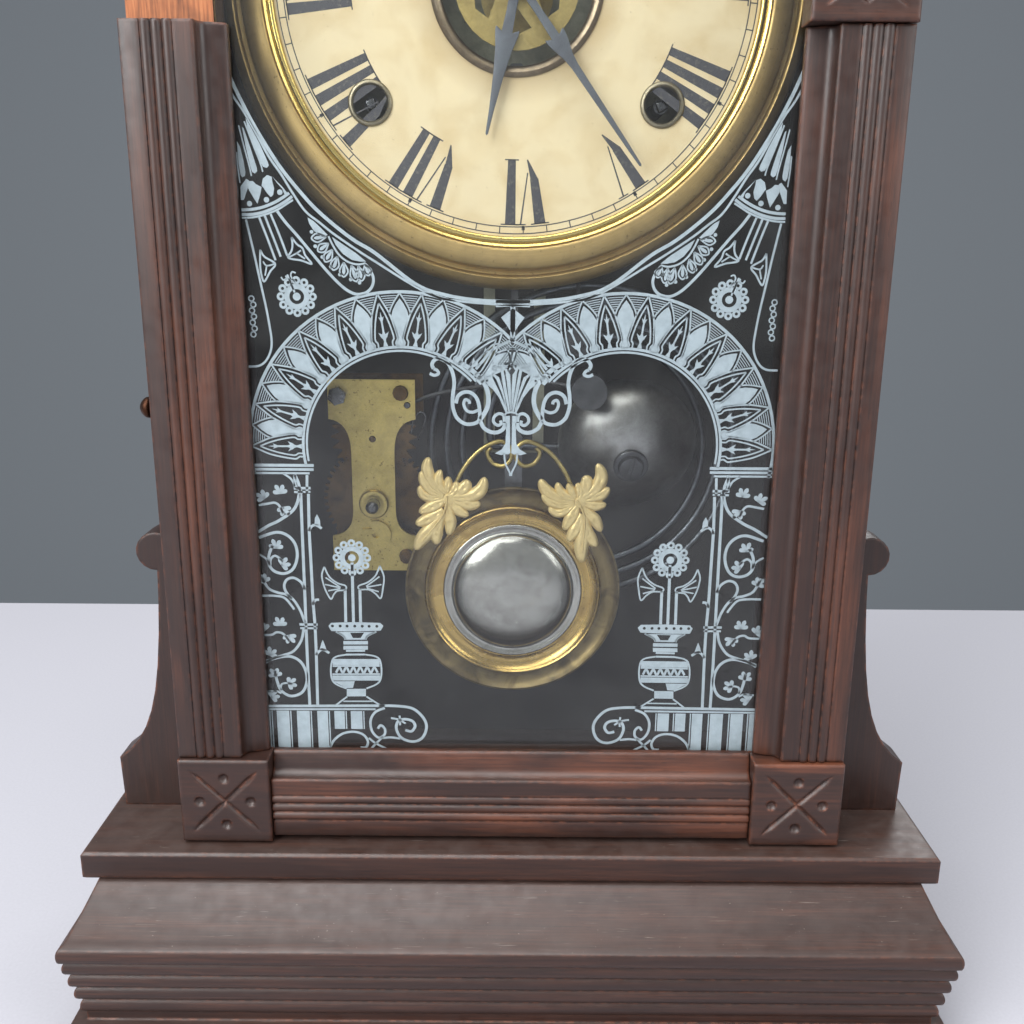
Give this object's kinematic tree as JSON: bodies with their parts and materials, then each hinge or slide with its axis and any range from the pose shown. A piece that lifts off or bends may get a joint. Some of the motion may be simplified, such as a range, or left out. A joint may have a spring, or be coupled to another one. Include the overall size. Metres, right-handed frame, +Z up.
{
  "type": "shelf clock",
  "caption": "Wooden parlour shelf clock with a reeded glazed door on hinges, open-centre dial, pendulum, coil gong, bell and a small alarm movement.",
  "frame": {"origin": "middle of the rectangle that the base covers on the shelf, at shelf level", "axes": "+X to the right as one faces the dial, +Y away from the viewer to the back of the case, +Z up"},
  "size_m": [0.3054, 0.125, 0.533],
  "materials": {
    "walnut": "old polished walnut",
    "dark_wood": "dark stained back board",
    "bare_wood": "bare core wood",
    "glass": "old sheet glass",
    "brass": "satin, lightly tarnished",
    "dull_brass": "tarnished",
    "gilt": "stamped and gilt",
    "steel": "grey steel",
    "nickel": "nickel plate",
    "blued_steel": "faded blued steel",
    "dial_paper": "cream paper on a zinc plate",
    "iron": "japanned"
  },
  "bodies": {
    "case": {"base_box": "walnut", "plinth_board": "walnut", "side_left": "walnut", "side_right": "walnut", "roof_left": "walnut", "roof_right": "walnut", "cap_board": "walnut", "wing_left": "walnut", "wing_right": "walnut", "crest_board": "walnut", "back_board": "dark_wood", "hinge_case_lower": "brass", "hinge_case_upper": "brass", "catch_spring": "brass", "bezel": "brass", "movement_front_plate": "brass", "movement_back_plate": "brass", "movement_stay": "brass", "alarm_front_plate": "brass", "alarm_stop": "brass", "dial_centre_ring": "dull_brass", "alarm_back_plate": "dull_brass", "gong": "steel", "bell_post": "steel", "bell": "nickel", "winding_grommet_left": "nickel", "winding_grommet_right": "nickel", "dial_plate": "dial_paper", "gong_block": "iron"},
    "door": {"door_frame": "bare_wood", "glass": "glass", "stile_left": "walnut", "stile_right": "walnut", "head_left": "walnut", "head_right": "walnut", "head_top": "walnut", "rail_bottom": "walnut", "block_lower_left": "walnut", "block_lower_right": "walnut", "block_upper_right": "walnut", "door_knob": "dull_brass", "hinge_door_lower": "brass", "hinge_door_upper": "brass"},
    "minute": {"centre_arbor": "steel", "minute_hand": "blued_steel"},
    "hour": {"hour_pipe": "dull_brass", "hour_hand": "blued_steel"},
    "alarm_setting": {"alarm_disc": "brass"},
    "time_winding": {"time_winding_wheel": "steel"},
    "strike_winding": {"strike_winding_wheel": "steel"},
    "pendulum": {"pendulum_rod": "steel", "bob_dish": "brass", "bob_dome": "nickel", "bob_yoke": "brass", "bob_leaf_left": "gilt", "bob_leaf_right": "gilt"},
    "strike_hammer": {"strike_hammer": "steel"},
    "alarm_hammer": {"alarm_hammer": "steel"},
    "alarm_winding": {"alarm_main_wheel": "dull_brass"},
    "alarm_escape": {"alarm_escape_wheel": "dull_brass"}
  },
  "joints": [
    {"name": "door_hinge", "type": "hinge", "parent": "case", "child": "door", "pos_m": [0.1189, -0.0093, 0.25], "axis": [0, 0, 1], "range_deg": [0, 95]},
    {"name": "minute_turn", "type": "hinge", "parent": "case", "child": "minute", "pos_m": [0, 0, 0.353], "axis": [0, 1, 0], "continuous": true},
    {"name": "hour_turn", "type": "hinge", "parent": "case", "child": "hour", "pos_m": [0, 0, 0.353], "axis": [0, 1, 0], "continuous": true},
    {"name": "alarm_setting_turn", "type": "hinge", "parent": "hour", "child": "alarm_setting", "pos_m": [0, 0, 0.353], "axis": [0, 1, 0], "continuous": true},
    {"name": "time_winding_turn", "type": "hinge", "parent": "case", "child": "time_winding", "pos_m": [-0.0471, 0, 0.3175], "axis": [0, 1, 0], "continuous": true},
    {"name": "strike_winding_turn", "type": "hinge", "parent": "case", "child": "strike_winding", "pos_m": [0.0471, 0, 0.3175], "axis": [0, 1, 0], "continuous": true},
    {"name": "pendulum_swing", "type": "hinge", "parent": "case", "child": "pendulum", "pos_m": [0, 0.0127, 0.328], "axis": [0, 1, 0], "range_deg": [-4, 4]},
    {"name": "strike_hammer_swing", "type": "hinge", "parent": "case", "child": "strike_hammer", "pos_m": [0.024, 0.0397, 0.285], "axis": [1, 0, 0], "range_deg": [-12, 0]},
    {"name": "alarm_hammer_swing", "type": "hinge", "parent": "case", "child": "alarm_hammer", "pos_m": [-0.0401, 0.036, 0.2147], "axis": [0, 1, 0], "range_deg": [-6, 0]},
    {"name": "alarm_winding_turn", "type": "hinge", "parent": "case", "child": "alarm_winding", "pos_m": [-0.0535, 0.033, 0.1765], "axis": [0, 1, 0], "continuous": true},
    {"name": "alarm_escape_turn", "type": "hinge", "parent": "case", "child": "alarm_escape", "pos_m": [-0.0535, 0.033, 0.2017], "axis": [0, 1, 0], "continuous": true}
  ],
  "couplings": [
    {"joint": "hour_turn", "follows": "minute_turn", "ratio": 0.083333},
    {"joint": "alarm_escape_turn", "follows": "alarm_winding_turn", "ratio": -4}
  ]
}
